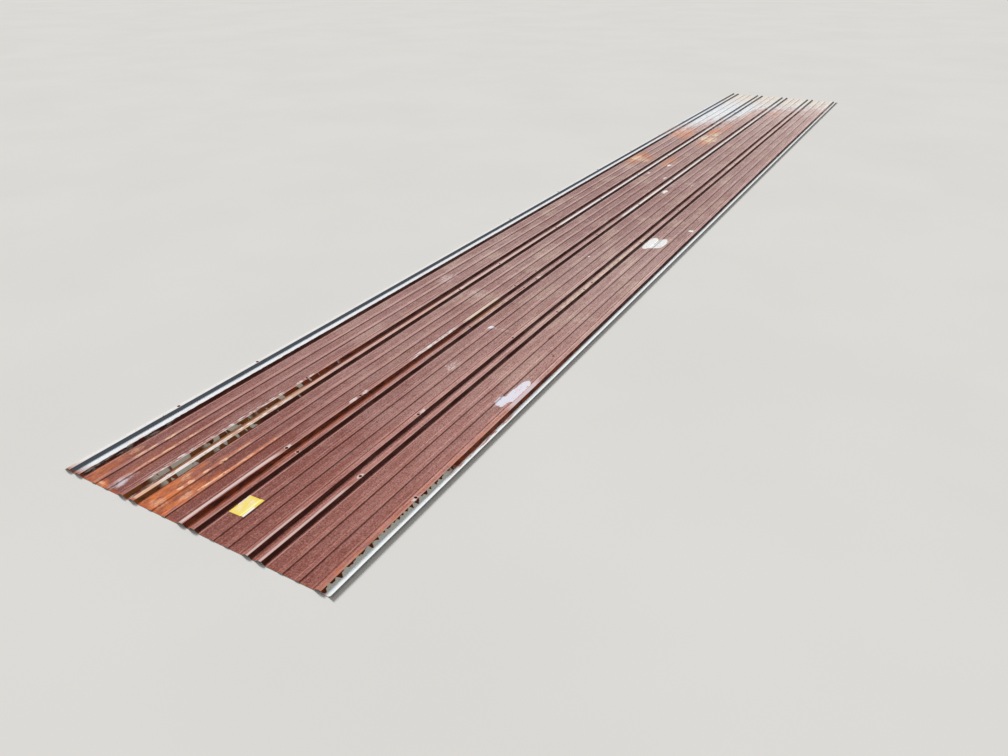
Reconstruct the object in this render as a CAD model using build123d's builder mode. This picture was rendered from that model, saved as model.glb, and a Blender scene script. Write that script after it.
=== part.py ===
"""Ribbed roofing sheet: one long sheet of thin steel, roll-formed with a pair of ribs every pitch.

The sheet lies flat with its pans on the ground. X runs across the ribs, Y along them, and the end
that is seen best is at -Y. The origin is under the middle of the sheet, at the height of its pans.
All sizes are in millimetres.
"""

import os
from math import atan2, sin

from build123d import *

# The steel and its length
sheet_length = 7315.2  # 24 feet
steel = 0.5
bend = 2.0  # inner radius of every bend of a rib

# Ribs, which stand in pairs with a narrow valley between them
rib_pitch = 241.3  # 9.5 inches from one pair to the next
bay_count = 4  # pans, with a pair of ribs between each two of them
rib_rise = 8.0
rib_slope = 10.5  # width of one sloping side, seen from above
rib_crest = 13.5
rib_valley = 11.0

# Beads, the low flat-topped folds that stiffen each pan
bead_count = 2
bead_rise = 2.0
bead_slope = 4.5
bead_top = 11.0
bead_bend = 3.0

# Lap edge, on the right, which goes under the next sheet
lap_valley = 10.0
lip_slope = 10.0
lip_rise = 7.0

# Nail holes, through the crests
hole_diameter = 8.0
far_margin = 300.0  # no nails nearer than this to the far end
purlin_spacing = 609.6  # 24 inches

# Nail rows that earlier roofs left, by their distance from the near end
first_row = 396.0
second_row = 748.0
third_row = 1380.0
fourth_row = 1680.0
fifth_row = 1835.0
sixth_row = 1952.0
seventh_row = 2036.0

rib_width = 2 * rib_slope + rib_crest
pair_width = 2 * rib_width + rib_valley
pan_width = rib_pitch - pair_width
sheet_width = bay_count * rib_pitch + rib_width + lap_valley + lip_slope
near_end = -sheet_length / 2

# The left edge is cut square to its slope, so its upper skin leans out past its foot
edge_lean = steel * sin(atan2(rib_rise, rib_slope))
left_edge = (edge_lean - sheet_width) / 2

# The crests that each row goes through, counted from the left, where the last crest is the lap
# edge's single rib
lap_crest = 2 * bay_count
nail_rows = [
    (first_row, (0, 4, 5, 7, lap_crest)),
    (second_row, (0, 2, 4, 6)),
    (third_row, (5, 6)),
    (fourth_row, (3, 7)),
    (fifth_row, (4, 5)),
    (sixth_row, (5, 7)),
    (seventh_row, (3, 4, 7)),
]

# Past those, one plain row for each purlin
purlin_crests = (0, 3, 5, 7)
row = seventh_row + purlin_spacing
while row < sheet_length - far_margin:
    nail_rows.append((row, purlin_crests))
    row += purlin_spacing


def crest_centre(crest):
    """Give the X of the middle of a crest, counted from the left edge."""
    pair, second = divmod(crest, 2)
    left_foot = left_edge + pair * rib_pitch + second * (rib_width + rib_valley)
    return left_foot + rib_width / 2


def rib_corners(left_foot):
    """List the four corners of a rib, each with the bend radius of its underside."""
    crest_start = left_foot + rib_slope
    return [
        (left_foot, 0, bend + steel),
        (crest_start, rib_rise, bend),
        (crest_start + rib_crest, rib_rise, bend),
        (left_foot + rib_width, 0, bend + steel),
    ]


def pair_corners(left_foot):
    """List the corners of two ribs with their valley between them."""
    return rib_corners(left_foot) + rib_corners(left_foot + rib_width + rib_valley)


def bead_corners(middle):
    """List the four corners of a low bead, each with the bend radius of its underside."""
    top_end = middle + bead_top / 2
    return [
        (middle - bead_top / 2 - bead_slope, 0, bead_bend + steel),
        (middle - bead_top / 2, bead_rise, bead_bend),
        (top_end, bead_rise, bead_bend),
        (top_end + bead_slope, 0, bead_bend + steel),
    ]


nail_places = [
    (crest_centre(crest), near_end + distance)
    for distance, crests in nail_rows
    for crest in crests
    if crest <= lap_crest
]

# Corners of the underside, from the left edge to the right
corners = pair_corners(left_edge)
for bay in range(bay_count):
    pan_start = left_edge + bay * rib_pitch + pair_width
    pan_end = pan_start + pan_width
    for bead in range(1, bead_count + 1):
        corners += bead_corners(pan_start + pan_width * bead / (bead_count + 1))
    corners += rib_corners(pan_end) if bay == bay_count - 1 else pair_corners(pan_end)
lip_foot = pan_end + rib_width + lap_valley
corners.append((lip_foot, 0, bend + steel))
corners.append((lip_foot + lip_slope, lip_rise, 0))

points = [(x, z) for x, z, radius in corners]
radii = [radius for x, z, radius in corners[1:-1]]

with BuildPart() as ribbed_sheet:
    with BuildSketch(Plane.XZ) as section:
        with BuildLine():
            FilletPolyline(*points, radius=radii)
            offset(amount=steel, side=Side.LEFT)
        make_face()
    extrude(amount=sheet_length / 2, both=True)
    with Locations(Plane.XY.offset(rib_rise + steel)):
        with Locations(*nail_places):
            Hole(hole_diameter / 2, depth=rib_rise)

ribbed_sheet.part.label = "ribbed_sheet"

os.makedirs("parts", exist_ok=True)
export_step(ribbed_sheet.part, "parts/ribbed_sheet.step")
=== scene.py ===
"""Looks of the ribbed roofing sheet: its finish, its blank label, a plain studio and the camera.

Shapes are in metres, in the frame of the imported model: X across the ribs, Y along them with the near
end at -Y, and Z up from the ground that the pans lie on. The sheet's finish is laid out in millimetres,
along from the near end and across from the left end of the first pan.
"""

import logging
import math
from dataclasses import dataclass, field
from enum import Enum
from functools import reduce
from typing import Callable

import bmesh
import bpy
from bmesh.types import BMesh, BMFace
from bpy.types import Material, Node, NodeSocket, NodeTree, Object
from mathutils import Euler, Matrix, Vector, noise
from mathutils.bvhtree import BVHTree

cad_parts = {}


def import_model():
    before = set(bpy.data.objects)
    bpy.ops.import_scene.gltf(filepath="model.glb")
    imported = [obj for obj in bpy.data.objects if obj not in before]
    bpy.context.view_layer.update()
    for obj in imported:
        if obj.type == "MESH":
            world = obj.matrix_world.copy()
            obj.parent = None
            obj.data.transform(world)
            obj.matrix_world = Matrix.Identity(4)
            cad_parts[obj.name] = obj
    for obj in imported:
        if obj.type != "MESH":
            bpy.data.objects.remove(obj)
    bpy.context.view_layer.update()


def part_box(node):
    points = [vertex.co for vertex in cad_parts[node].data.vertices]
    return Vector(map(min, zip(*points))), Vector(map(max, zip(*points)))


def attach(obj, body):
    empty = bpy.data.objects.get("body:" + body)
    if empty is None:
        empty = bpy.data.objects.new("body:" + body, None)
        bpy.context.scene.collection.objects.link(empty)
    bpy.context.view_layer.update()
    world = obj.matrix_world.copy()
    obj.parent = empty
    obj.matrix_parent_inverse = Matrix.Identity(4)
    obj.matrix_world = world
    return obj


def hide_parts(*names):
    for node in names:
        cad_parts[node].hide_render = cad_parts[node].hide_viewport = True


log = logging.getLogger("sheet")

SHEET_NODE = "ribbed_sheet"
BODY = "root"
MM = 1000.0  # millimetres in a metre
MERGE = 1e-6  # metres under which points are one

Colour = tuple[float, float, float, float]


def srgb(*steps: int) -> Colour:
    """Turn a colour, as a screen shows it, into a linear one.

    Args:
        steps: Red, green and blue, 0 to 255.

    Returns:
        The linear colour, with an alpha of 1.
    """
    shares = [step / 255 for step in steps]
    linear = [share / 12.92 if share <= 0.04045 else ((share + 0.055) / 1.055) ** 2.4 for share in shares]
    return (*linear, 1.0)


def place_mesh(name: str, model: BMesh, finishes: list[Material]) -> Object:
    """Turn a finished bmesh into an object at the origin.

    Args:
        name: Name of the object and of its mesh.
        model: The shape, which is freed.
        finishes: Its materials, in the order of the faces' indices.

    Returns:
        The object, linked to the scene.
    """
    mesh = bpy.data.meshes.new(name)
    model.to_mesh(mesh)
    model.free()
    for finish in finishes:
        mesh.materials.append(finish)
    piece = bpy.data.objects.new(name, mesh)
    bpy.context.scene.collection.objects.link(piece)
    return piece


class Bend(Enum):
    """Kinds of corner in the sheet's section."""

    FOOT = "foot"
    CREST = "crest"
    BEAD_FOOT = "bead_foot"
    BEAD_TOP = "bead_top"


class Zone(Enum):
    """Zones across a pair of ribs, from the left: rises face left and falls face right."""

    FIRST_RISE = 0
    FIRST_CREST = 1
    FIRST_FALL = 2
    VALLEY = 3
    SECOND_RISE = 4
    SECOND_CREST = 5
    SECOND_FALL = 6


Corner = tuple[float, float, Bend]


@dataclass(frozen=True)
class Section:
    """Section of the sheet, seen from its near end, as the underside of the steel runs."""

    length: float
    left_edge: float
    steel: float = 0.0005
    bend: float = 0.002
    pitch: float = 0.2413
    bays: int = 4
    rise: float = 0.0080
    slope: float = 0.0105
    crest: float = 0.0135
    valley: float = 0.011
    beads: int = 2
    bead_rise: float = 0.0020
    bead_slope: float = 0.0045
    bead_top: float = 0.011
    bead_bend: float = 0.003
    lap_valley: float = 0.010
    lip_slope: float = 0.010
    lip_rise: float = 0.007

    @property
    def rib(self) -> float:
        """Width of one rib, foot to foot."""
        return 2 * self.slope + self.crest

    @property
    def pair(self) -> float:
        """Width of two ribs and their valley."""
        return 2 * self.rib + self.valley

    @property
    def pan(self) -> float:
        """Width of a pan."""
        return self.pitch - self.pair

    @property
    def near_end(self) -> float:
        """Y of the near end."""
        return -self.length / 2

    @property
    def first_pan(self) -> float:
        """X of the left end of the first pan."""
        return self.left_edge + self.pair

    def zone(self, zone: Zone) -> tuple[float, float]:
        """Give where a zone starts and ends, in millimetres from the left foot of its pair of ribs."""
        rib = (self.slope, self.crest, self.slope)
        widths = (*rib, self.valley, *rib)
        return MM * sum(widths[:zone.value]), MM * sum(widths[:zone.value + 1])

    def pan_start(self, bay: int) -> float:
        """X of the left end of a pan, counted from 0 at the left."""
        return self.first_pan + bay * self.pitch

    def bead_middle(self, bead: int) -> float:
        """Distance from a pan's left end to the middle of a bead, counted from 1."""
        return self.pan * bead / (self.beads + 1)

    def rib_foot(self, crest: int) -> float:
        """X of the left foot of the rib with this crest, counted from 0 at the left edge."""
        pair, second = divmod(crest, 2)
        return self.left_edge + pair * self.pitch + second * (self.rib + self.valley)

    def crest_centre(self, crest: int) -> float:
        """X of the middle of a crest."""
        return self.rib_foot(crest) + self.rib / 2

    def ridge(self, foot: float, slope: float, top: float, rise: float,
              bends: tuple[Bend, Bend]) -> list[Corner]:
        """List the four corners of a rib or a bead.

        Args:
            foot: X of its left foot.
            slope: Width of one sloping side.
            top: Width of its flat top.
            rise: Its height.
            bends: The kinds of its feet and of its top's corners.

        Returns:
            The corners, from the left.
        """
        start = foot + slope
        end = start + top
        low, high = bends
        return [(foot, 0.0, low), (start, rise, high), (end, rise, high), (end + slope, 0.0, low)]

    def rib_corners(self, crest: int) -> list[Corner]:
        """Corners of the rib with this crest."""
        return self.ridge(self.rib_foot(crest), self.slope, self.crest, self.rise, (Bend.FOOT, Bend.CREST))

    def bead_corners(self, middle: float) -> list[Corner]:
        """Corners of the bead whose middle is at this X."""
        foot = middle - self.bead_top / 2 - self.bead_slope
        bends = (Bend.BEAD_FOOT, Bend.BEAD_TOP)
        return self.ridge(foot, self.bead_slope, self.bead_top, self.bead_rise, bends)

    def corners(self) -> list[Corner]:
        """List the corners of the whole underside, where the last pan has a single rib on its right.

        Returns:
            The corners, from the left edge to the lip.
        """
        last = 2 * self.bays
        found = self.rib_corners(0) + self.rib_corners(1)
        for bay in range(self.bays):
            for bead in range(1, self.beads + 1):
                found += self.bead_corners(self.pan_start(bay) + self.bead_middle(bead))
            for crest in range(2 * bay + 2, min(2 * bay + 3, last) + 1):
                found += self.rib_corners(crest)
        lip = self.rib_foot(last) + self.rib + self.lap_valley
        return found + [(lip, 0.0, Bend.FOOT), (lip + self.lip_slope, self.lip_rise, Bend.FOOT)]

    def bend_reach(self, kind: Bend) -> float:
        """Give how far a bend reaches along the flat on each side of its corner.

        Args:
            kind: The corner's kind.

        Returns:
            The tangent length of the underside's arc.
        """
        in_bead = kind in (Bend.BEAD_FOOT, Bend.BEAD_TOP)
        at_foot = kind in (Bend.FOOT, Bend.BEAD_FOOT)
        turn = math.atan2(self.bead_rise, self.bead_slope) if in_bead else math.atan2(self.rise, self.slope)
        radius = (self.bead_bend if in_bead else self.bend) + (self.steel if at_foot else 0)
        return radius * math.tan(turn / 2)


@dataclass(frozen=True)
class NailHoles:
    """Nail holes through the crests, in rows counted from the near end."""

    section: Section
    radius: float = 0.004
    purlin_spacing: float = 0.6096
    far_margin: float = 0.3
    purlin_crests: tuple[int, ...] = (0, 3, 5, 7)
    seen_rows: tuple[tuple[float, tuple[int, ...]], ...] = (
        (0.396, (0, 4, 5, 7, 8)),
        (0.748, (0, 2, 4, 6)),
        (1.380, (5, 6)),
        (1.680, (3, 7)),
        (1.835, (4, 5)),
        (1.952, (5, 7)),
        (2.036, (3, 4, 7)),
    )

    def rows(self) -> list[tuple[float, tuple[int, ...]]]:
        """List the rows.

        Returns:
            Each row's Y and the crests that it goes through.
        """
        found = list(self.seen_rows)
        distance = found[-1][0] + self.purlin_spacing
        while distance < self.section.length - self.far_margin:
            found.append((distance, self.purlin_crests))
            distance += self.purlin_spacing
        return [(self.section.near_end + distance, crests) for distance, crests in found]

    def centres(self) -> list[tuple[float, float]]:
        """List the X and Y of every hole."""
        return [(self.section.crest_centre(crest), y) for y, crests in self.rows() for crest in crests]


@dataclass(frozen=True)
class Dent:
    """A place where a crest is pressed in, by crest and distance from the near end."""

    crest: int
    along: float
    depth: float
    reach: float


@dataclass(frozen=True)
class Ripple:
    """Slight unevenness from a smooth noise, with its waves per metre, its seed, lift and height."""

    across: float
    along: float
    seed: float
    lift: float
    height: float

    def at(self, x: float, y: float) -> float:
        """Give the ripple's height at a place."""
        return (noise.noise((x * self.across, y * self.along, self.seed)) + self.lift) * self.height


@dataclass(frozen=True)
class RibbedSheet:
    """The sheet as it shows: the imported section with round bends, dimpled nail holes and soft dents."""

    section: Section
    holes: NailHoles
    row_step: float = 0.075
    nail_rings: tuple[float, ...] = (0.0066, 0.012, 0.024)
    bend_segments: int = 2
    pan_columns: int = 2
    hole_cuts: int = 3
    hole_collar: float = 0.0052
    hole_inset: float = 0.0010
    dimple: float = 0.0005
    swell: Ripple = Ripple(8, 2.6, 2.0, 0.1, 0.0007)
    sink: Ripple = Ripple(6, 3.9, 7.0, 0.0, 0.0007)
    wander: Ripple = Ripple(1.4, 1.2, 4.0, 0.0, 0.0009)
    halo_reach: float = 0.017
    still_reach: float = 0.02
    calm_width: float = 0.03
    dent_power: float = 1.5
    least_upward: float = 0.2
    crease: float = math.radians(35)
    shading_weight: int = 60
    dents: tuple[Dent, ...] = (
        Dent(4, 0.372, 0.0030, 0.045),
        Dent(3, 1.690, 0.0016, 0.030),
        Dent(5, 1.985, 0.0020, 0.045),
        Dent(7, 1.965, 0.0022, 0.040),
        Dent(3, 2.050, 0.0018, 0.035),
        Dent(1, 1.120, 0.0014, 0.060),
        Dent(6, 0.012, 0.0024, 0.030),
        Dent(2, 3.420, 0.0016, 0.050),
        Dent(8, 2.300, 0.0014, 0.080),
    )

    def build(self, pans: Material, ribs: Material, bare: Material) -> Object:
        """Model the sheet and dress it.

        Args:
            pans: The material of the pans' upper side.
            ribs: The material of the ribs' upper side.
            bare: The underside's and the cut edges' material.

        Returns:
            The finished piece.
        """
        model = bmesh.new()
        for step in (self.roll, self.divide, self.punch, self.press_marks, self.give_steel):
            step(model)
        piece = place_mesh("roof_sheet", model, [pans, ribs, bare])
        shading = piece.modifiers.new("flat_pans", "WEIGHTED_NORMAL")
        shading.keep_sharp = True
        shading.weight = self.shading_weight
        return piece

    def roll(self, model: BMesh) -> None:
        """Draw the section's underside, run it along the whole length and round its bends.

        Args:
            model: The empty mesh to draw in.
        """
        section = self.section
        corners = section.corners()
        line = [model.verts.new((x, section.near_end, z)) for x, z, kind in corners]
        edges = [model.edges.new(pair) for pair in zip(line, line[1:])]
        run = bmesh.ops.extrude_edge_only(model, edges=edges)["geom"]
        far = [item for item in run if isinstance(item, bmesh.types.BMVert)]
        bmesh.ops.translate(model, verts=far, vec=(0, section.length, 0))
        long_edges = [edge for edge in model.edges if edge.calc_length() > section.length / 2]
        folds = {}
        for edge in long_edges:
            x, z, kind = min(corners, key=lambda corner: abs(corner[0] - edge.verts[0].co.x))
            if (x, z, kind) not in (corners[0], corners[-1]):
                folds.setdefault(kind, []).append(edge)
        for kind, chosen in folds.items():
            bmesh.ops.bevel(model, geom=chosen, offset=section.bend_reach(kind), offset_type="OFFSET",
                            affect="EDGES", segments=self.bend_segments, profile=0.5, material=-1)
        bmesh.ops.remove_doubles(model, verts=model.verts[:], dist=MERGE)
        model.normal_update()
        bmesh.ops.reverse_faces(model, faces=[face for face in model.faces if face.normal.z > 0])

    def divide(self, model: BMesh) -> None:
        """Cut the pans' flats along, and the whole sheet across, evenly and close to the nail rows.

        Args:
            model: The rolled section.
        """
        section = self.section
        flat = section.pan / (section.beads + 1)
        columns = [section.pan_start(bay) + flat * (bead + column / (self.pan_columns + 1))
                   for bay in range(section.bays)
                   for bead in range(section.beads + 1)
                   for column in range(1, self.pan_columns + 1)]
        for x in columns:
            self.cut(model, (x, 0, 0), (1, 0, 0))
        count = round(section.length / self.row_step)
        even = [section.near_end + section.length * i / count for i in range(1, count)]
        nails = [y for y, crests in self.holes.rows()]
        widest = max(self.nail_rings)
        rows = [y for y in even if min(abs(y - nail) for nail in nails) > widest]
        rows += [nail + side * ring for nail in nails for side in (-1, 1) for ring in self.nail_rings]
        for y in sorted(rows):
            self.cut(model, (0, y, 0), (0, 1, 0))

    def cut(self, model: BMesh, place: tuple[float, ...], facing: tuple[float, ...]) -> None:
        """Cut the whole sheet by one plane, with nothing taken away."""
        bmesh.ops.bisect_plane(model, geom=model.verts[:] + model.edges[:] + model.faces[:],
                               plane_co=place, plane_no=facing, dist=MERGE)

    def punch(self, model: BMesh) -> None:
        """Open a round hole with a pressed-in rim in the crest, at each nail's place.

        Args:
            model: The divided sheet.
        """
        on_top = self.section.rise - MERGE
        crests = [face for face in model.faces if face.calc_center_median().z > on_top]
        radius, collar = self.holes.radius, self.hole_collar
        rings = ((collar, 0.0), ((collar + radius) / 2, self.dimple / 3), (radius, self.dimple))
        for x, y in self.holes.centres():
            patch = min(crests, key=lambda f: (f.calc_center_median().xy - Vector((x, y))).length)
            crests.remove(patch)
            for index, (reach, sunk) in enumerate(rings):
                bmesh.ops.inset_individual(model, faces=[patch], thickness=self.hole_inset, depth=0)
                if index == 0:
                    bmesh.ops.subdivide_edges(model, edges=patch.edges[:], cuts=self.hole_cuts)
                self.round_off(patch, (x, y), reach, sunk)
            bmesh.ops.delete(model, geom=[patch], context="FACES_ONLY")

    def round_off(self, patch: BMFace, centre: tuple[float, float], radius: float, sunk: float) -> None:
        """Move a face's corners on to a circle.

        Args:
            patch: The face.
            centre: The circle's X and Y.
            radius: The circle's radius.
            sunk: How far below the crest the circle lies.
        """
        step = math.tau / len(patch.verts)
        for vert in patch.verts:
            away = vert.co.xy - Vector(centre)
            turn = round(math.atan2(away.y, away.x) / step) * step
            vert.co = (centre[0] + radius * math.cos(turn), centre[1] + radius * math.sin(turn),
                       self.section.rise - sunk)

    def press_marks(self, model: BMesh) -> None:
        """Give the flats their slight swell, the ribs their slight wander, and the crests their dents.

        Args:
            model: The punched sheet, whose points also keep their first X and their nearness to a nail.
        """
        section = self.section
        halo = model.verts.layers.float.new("halo")
        across = model.verts.layers.float.new("across")
        centres = [Vector(centre) for centre in self.holes.centres()]
        dents = [(Vector((section.crest_centre(d.crest), section.near_end + d.along)), d) for d in self.dents]
        for vert in model.verts:
            x, y, z = vert.co
            place = vert.co.xy
            near = min((place - centre).length for centre in centres)
            vert[halo] = max(0.0, 1 - near / self.halo_reach)
            vert[across] = x
            height = min(1.0, z / section.rise)
            calm = min(1.0, (-section.left_edge - abs(x)) / self.calm_width)
            still = min(1.0, max(0.0, (near - self.still_reach) / self.calm_width))
            lift = max(0.0, self.swell.at(x, y)) * (1 - height) * calm
            drop = sum(dent.depth * max(0.0, 1 - (place - centre).length / dent.reach) ** self.dent_power
                       for centre, dent in dents)
            drop += max(0.0, self.sink.at(x, y)) * still
            shift = self.wander.at(x, y) * max(0.0, calm) * still
            vert.co = (x + shift, y, max(0.0, z + lift - drop * height))

    def give_steel(self, model: BMesh) -> None:
        """Turn the underside into a closed wall, with the bare steel's faces and the cut edges told apart.

        Args:
            model: The marked sheet.
        """
        section = self.section
        bmesh.ops.solidify(model, geom=model.faces[:], thickness=section.steel)
        model.normal_update()
        across = model.verts.layers.float["across"]
        for face in model.faces:
            face.smooth = True
            middle = sum(vert[across] for vert in face.verts) / len(face.verts) - section.left_edge
            in_pan = middle % section.pitch > section.pair and middle < section.bays * section.pitch
            face.material_index = 2 if face.normal.z < self.least_upward else 0 if in_pan else 1
        for edge in model.edges:
            if len(edge.link_faces) == 2 and edge.calc_face_angle() > self.crease:
                edge.smooth = False


@dataclass(frozen=True)
class Label:
    """Small blank label, stuck on the third pan and pressed down over its first bead."""

    section: Section
    bay: int = 2
    across: float = 0.0318
    along: float = 0.143
    width: float = 0.0555
    length: float = 0.080
    paper: float = 0.00015
    gap: float = 0.00006
    turn: float = math.radians(1.5)
    columns: int = 52
    rows: int = 40

    def build(self, sheet: Object, finish: Material) -> Object:
        """Cut the label and lay it on the sheet.

        Args:
            sheet: The sheet that carries it.
            finish: Its material.

        Returns:
            The finished piece.
        """
        section = self.section
        model = bmesh.new()
        bmesh.ops.create_grid(model, x_segments=self.columns, y_segments=self.rows, size=0.5)
        layer = model.loops.layers.uv.new("label")
        for face in model.faces:
            for loop in face.loops:
                loop[layer].uv = loop.vert.co.xy + Vector((0.5, 0.5))
        verts = model.verts[:]
        bmesh.ops.scale(model, verts=verts, vec=(self.width, self.length, 1))
        bmesh.ops.rotate(model, verts=verts, cent=(0, 0, 0), matrix=Matrix.Rotation(self.turn, 3, "Z"))
        middle = (section.pan_start(self.bay) + self.across, section.near_end + self.along, 0)
        bmesh.ops.translate(model, verts=verts, vec=middle)
        surface = BVHTree.FromPolygons([vert.co.copy() for vert in sheet.data.vertices],
                                       [tuple(face.vertices) for face in sheet.data.polygons])
        for vert in verts:
            above = Vector((vert.co.x, vert.co.y, 1))
            vert.co.z = surface.ray_cast(above, Vector((0, 0, -1)))[0].z + self.gap
        model.normal_update()
        if model.faces[:][0].normal.z > 0:
            bmesh.ops.reverse_faces(model, faces=model.faces[:])
        bmesh.ops.solidify(model, geom=model.faces[:], thickness=self.paper)
        model.normal_update()
        for face in model.faces:
            face.smooth = abs(face.normal.z) > 0.5
        return place_mesh("blank_label", model, [finish])


class Tone(Enum):
    """Colours of the sheet's coat, its rust and its bare zinc, and of the painted shade and light laid on its
    slopes.
    """

    # painted shade: the coat's colour on the right-facing rib slopes, darkened as if in shade
    SHADE = srgb(72, 37, 31)
    # dark flecks of the coat, and painted shade on the beads' right-facing slopes and at the rises' feet
    DEEP = srgb(94, 48, 40)
    BROWN = srgb(124, 62, 52)
    PINK = srgb(162, 122, 118)
    MAUVE = srgb(174, 146, 143)
    DUSK = srgb(140, 92, 92)
    PALE_MAUVE = srgb(218, 198, 194)
    PALE_ROSE = srgb(206, 150, 138)
    PALE_PINK = srgb(218, 190, 182)
    SALMON = srgb(208, 142, 110)
    RUST = srgb(172, 82, 40)
    BRIGHT_RUST = srgb(222, 124, 62)
    DARK_RUST = srgb(98, 44, 24)
    OCHRE = srgb(152, 98, 54)
    AMBER = srgb(236, 190, 156)
    SAND = srgb(206, 166, 142)
    CREAM = srgb(228, 210, 186)
    TAN = srgb(208, 187, 170)
    WHITE = srgb(236, 237, 236)
    COOL_WHITE = srgb(224, 230, 237)
    # lit copy of the zinc, for the left-facing slopes that face the key
    LIT_ZINC = srgb(194, 198, 198)
    # pale zinc of the worn patches, and of the painted patches of light on pair 1's right-facing slopes
    PALE_ZINC_AND_LIGHT = srgb(226, 226, 212)
    # painted shade of the zinc, bluish, for the right-facing slopes; also the far end's thin streaks
    BLUE_GREY_SHADE_AND_STREAK = srgb(108, 116, 128)
    LILAC = srgb(224, 222, 232)


@dataclass(frozen=True)
class NodeBench:
    """Short ways to add and link nodes in one tree."""

    tree: NodeTree

    def add(self, kind: str, *given: object, **settings: object) -> Node:
        """Add a node.

        Args:
            kind: The node's type.
            given: What its first inputs take, in their order.
            settings: Its properties.

        Returns:
            The node.
        """
        node = self.tree.nodes.new(kind)
        for name, value in settings.items():
            setattr(node, name, value)
        for socket, value in zip(node.inputs, given):
            self.feed(socket, value)
        return node

    def feed(self, socket: NodeSocket, value: object) -> None:
        """Link a socket into another, or set the other's own value."""
        if isinstance(value, NodeSocket):
            self.tree.links.new(value, socket)
        else:
            socket.default_value = value.value if isinstance(value, Tone) else value

    def fill(self, node: Node, values: dict[str, object]) -> Node:
        """Feed a node's inputs by their names."""
        for name, value in values.items():
            self.feed(node.inputs[name], value)
        return node

    def place(self) -> NodeSocket:
        """Give the Object coordinates."""
        return self.add("ShaderNodeTexCoord").outputs["Object"]

    def math(self, operation: str, first: object, second: object) -> NodeSocket:
        """Work on two numbers."""
        return self.add("ShaderNodeMath", first, second, operation=operation).outputs[0]

    def span(self, value: object, low: object, high: float, start: float = 0, end: float = 1) -> NodeSocket:
        """Map a value smoothly from low..high to start..end, and keep it there."""
        return self.add("ShaderNodeMapRange", value, low, high, start, end,
                        interpolation_type="SMOOTHSTEP", clamp=False).outputs[0]

    def times(self, *values: object) -> NodeSocket:
        """Multiply numbers or masks."""
        return reduce(lambda product, value: self.math("MULTIPLY", product, value), values)

    def most(self, *values: object) -> NodeSocket:
        """Join masks by their highest value."""
        return reduce(lambda joined, value: self.math("MAXIMUM", joined, value), values)

    def mix(self, share: object, first: object, second: object) -> NodeSocket:
        """Mix two colours, share 0 for the first and 1 for the second."""
        node = self.add("ShaderNodeMix", share, data_type="RGBA")
        self.feed(node.inputs[6], first)
        self.feed(node.inputs[7], second)
        return node.outputs[2]

    def blend(self, share: object, first: object, second: object) -> NodeSocket:
        """Mix two numbers, share 0 for the first and 1 for the second."""
        node = self.add("ShaderNodeMix", share, data_type="FLOAT")
        self.feed(node.inputs[2], first)
        self.feed(node.inputs[3], second)
        return node.outputs[0]

    def join(self, x: object, y: object, z: object) -> NodeSocket:
        """Join three numbers into a vector."""
        return self.add("ShaderNodeCombineXYZ", x, y, z).outputs[0]

    def curve(self, value: NodeSocket, points: tuple[tuple[float, float], ...]) -> NodeSocket:
        """Map a value along straight runs between points.

        Args:
            value: The value.
            points: Pairs of a value and what it becomes, in rising order.

        Returns:
            The mapped value.
        """
        left, right = points[0][0], points[-1][0]
        top = max(y for x, y in points)
        node = self.add("ShaderNodeFloatCurve")
        line = node.mapping.curves[0]
        places = [((x - left) / (right - left), y / top) for x, y in points]
        line.points[0].location = places[0]
        line.points[-1].location = places[-1]
        for place in places[1:-1]:
            line.points.new(*place)
        for point in line.points:
            point.handle_type = "VECTOR"
        node.mapping.update()
        self.feed(node.inputs["Value"], self.math("DIVIDE", self.math("SUBTRACT", value, left), right - left))
        return self.times(node.outputs[0], top)

    def band(self, value: object, low: float, high: float, soft: float) -> NodeSocket:
        """Mask of a stretch, 1 from low to high, with edges this soft."""
        rise = self.span(value, low - soft / 2, low + soft / 2)
        return self.times(rise, self.span(value, high - soft / 2, high + soft / 2, 1, 0))

    def group(self, tree: NodeTree, **values: object) -> NodeSocket:
        """Place a shared node group, feed its inputs by their names and give its output."""
        return self.fill(self.add("ShaderNodeGroup", node_tree=tree), values).outputs[0]

    def shade(self, values: dict[str, object]) -> None:
        """Add the shader, feed its inputs by their names and add the material's output."""
        shader = self.fill(self.add("ShaderNodeBsdfPrincipled"), values)
        self.add("ShaderNodeOutputMaterial", shader.outputs[0])


def start_material(name: str) -> tuple[Material, NodeBench]:
    """Open a new material.

    Args:
        name: The material's name.

    Returns:
        The material and a bench on its empty tree.
    """
    material = bpy.data.materials.new(name)
    material.use_nodes = True
    material.node_tree.nodes.clear()
    return material, NodeBench(material.node_tree)


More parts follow.
